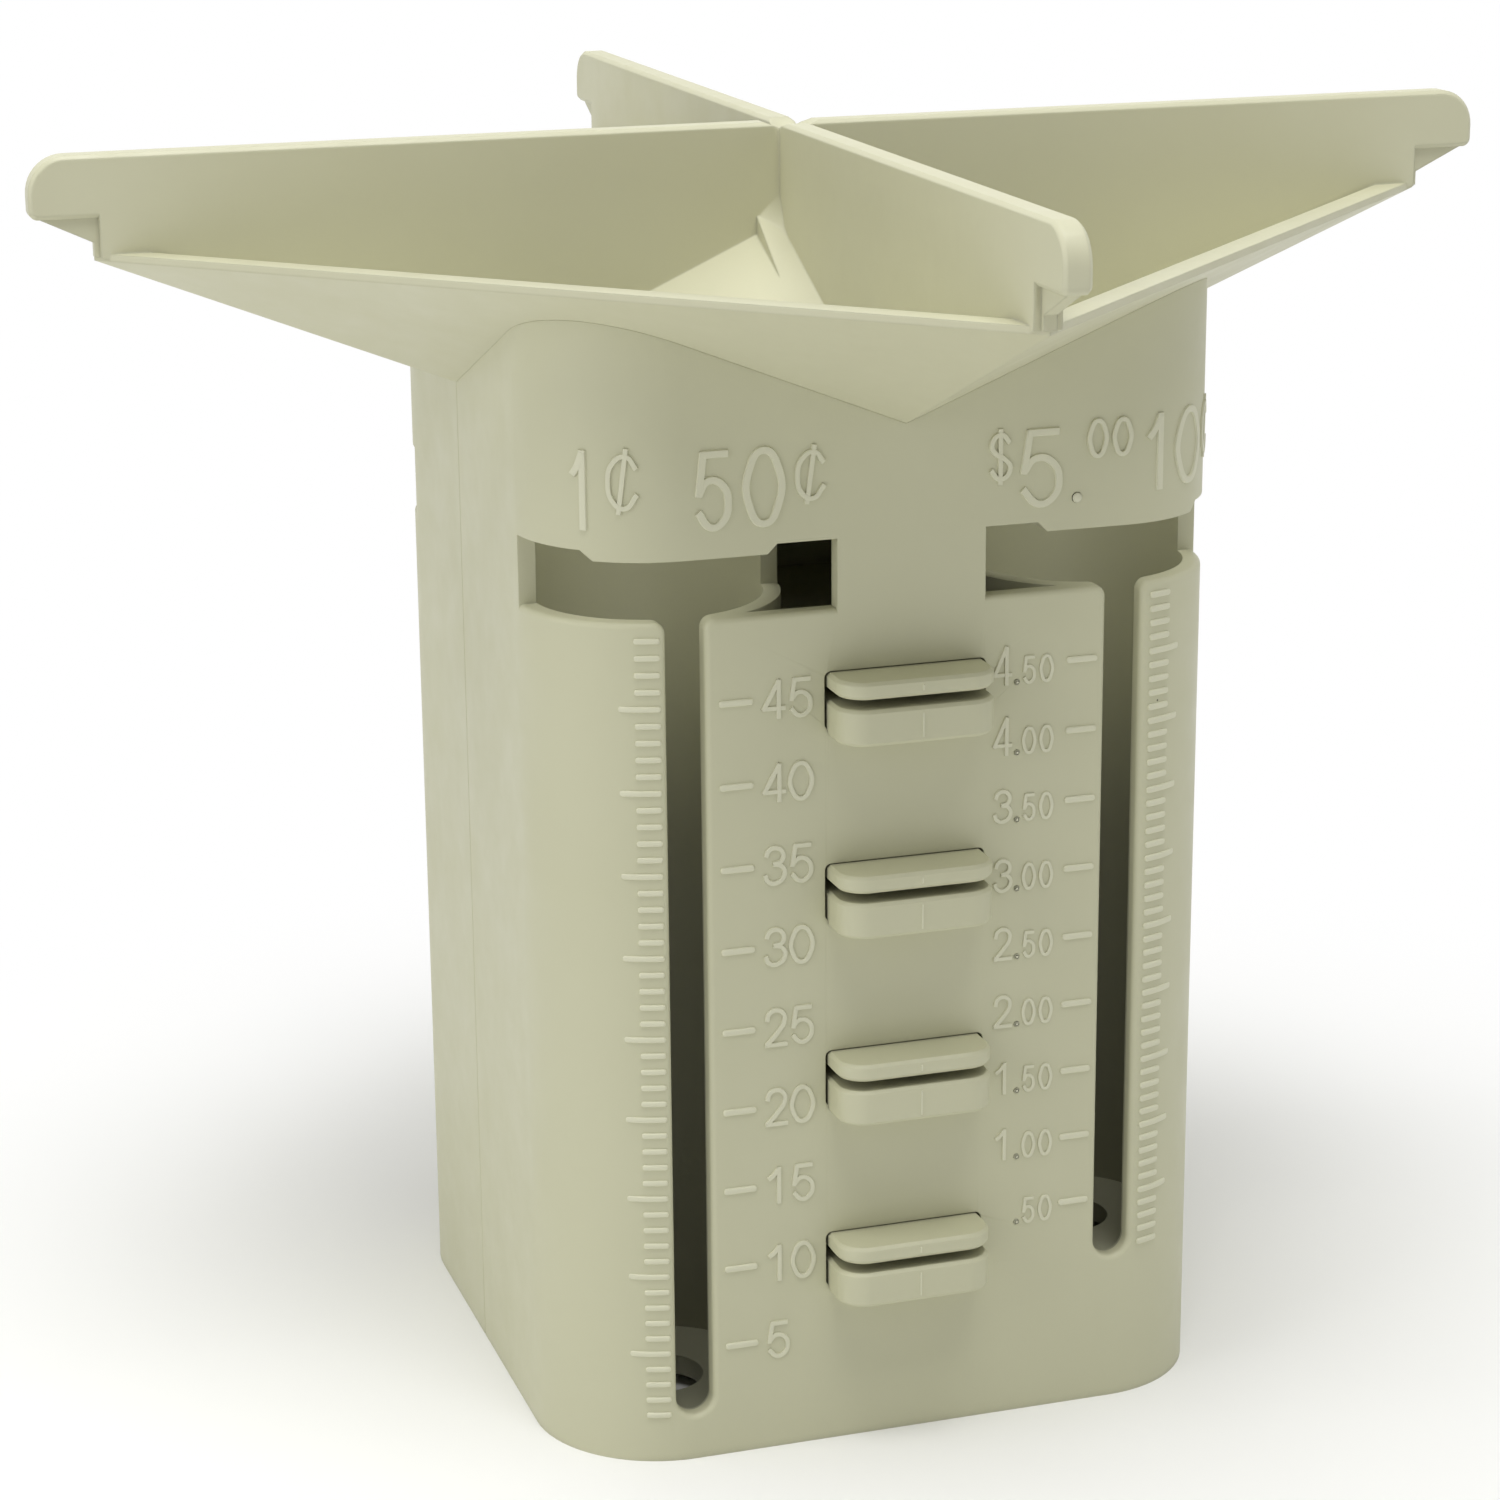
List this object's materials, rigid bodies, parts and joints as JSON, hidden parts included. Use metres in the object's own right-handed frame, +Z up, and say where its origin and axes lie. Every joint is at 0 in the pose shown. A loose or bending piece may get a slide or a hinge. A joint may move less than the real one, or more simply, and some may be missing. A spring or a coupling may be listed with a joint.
{
  "type": "coin sorting machine",
  "caption": "Hand-operated coin sorting tower with a star-shaped hopper tray, corner coin tubes, viewing slots with counting scales and snap-together shells.",
  "frame": {"origin": "centre of the tower's base, at table height", "axes": "+X to the right as seen from the scale face, -Y out of the scale face, +Z up"},
  "size_m": [0.1428, 0.1428, 0.1199],
  "materials": {
    "shell": "satin moulded beige",
    "tray": "satin moulded beige",
    "leaf": "satin moulded beige"
  },
  "bodies": {
    "tower": {"front_shell": "shell", "rear_shell": "shell"},
    "tray": {"star_tray": "tray"},
    "leaf_1": {"snap_leaf_1": "leaf"},
    "leaf_2": {"snap_leaf_2": "leaf"},
    "leaf_3": {"snap_leaf_3": "leaf"},
    "leaf_4": {"snap_leaf_4": "leaf"}
  },
  "joints": [
    {"name": "tray_lift", "type": "slide", "parent": "tower", "child": "tray", "axis": [0, 0, 1], "range_m": [0, 0.02]},
    {"name": "leaf_1_flex", "type": "hinge", "parent": "tower", "child": "leaf_1", "pos_m": [0, -0.0123, 0.01705], "axis": [-1, 0, 0], "range_deg": [0, 1.9], "stiffness_Nm_per_rad": 1},
    {"name": "leaf_2_flex", "type": "hinge", "parent": "tower", "child": "leaf_2", "pos_m": [0, -0.0123, 0.03505], "axis": [-1, 0, 0], "range_deg": [0, 1.9], "stiffness_Nm_per_rad": 1},
    {"name": "leaf_3_flex", "type": "hinge", "parent": "tower", "child": "leaf_3", "pos_m": [0, -0.0123, 0.05305], "axis": [-1, 0, 0], "range_deg": [0, 1.9], "stiffness_Nm_per_rad": 1},
    {"name": "leaf_4_flex", "type": "hinge", "parent": "tower", "child": "leaf_4", "pos_m": [0, -0.0123, 0.07105], "axis": [-1, 0, 0], "range_deg": [0, 1.9], "stiffness_Nm_per_rad": 1}
  ]
}
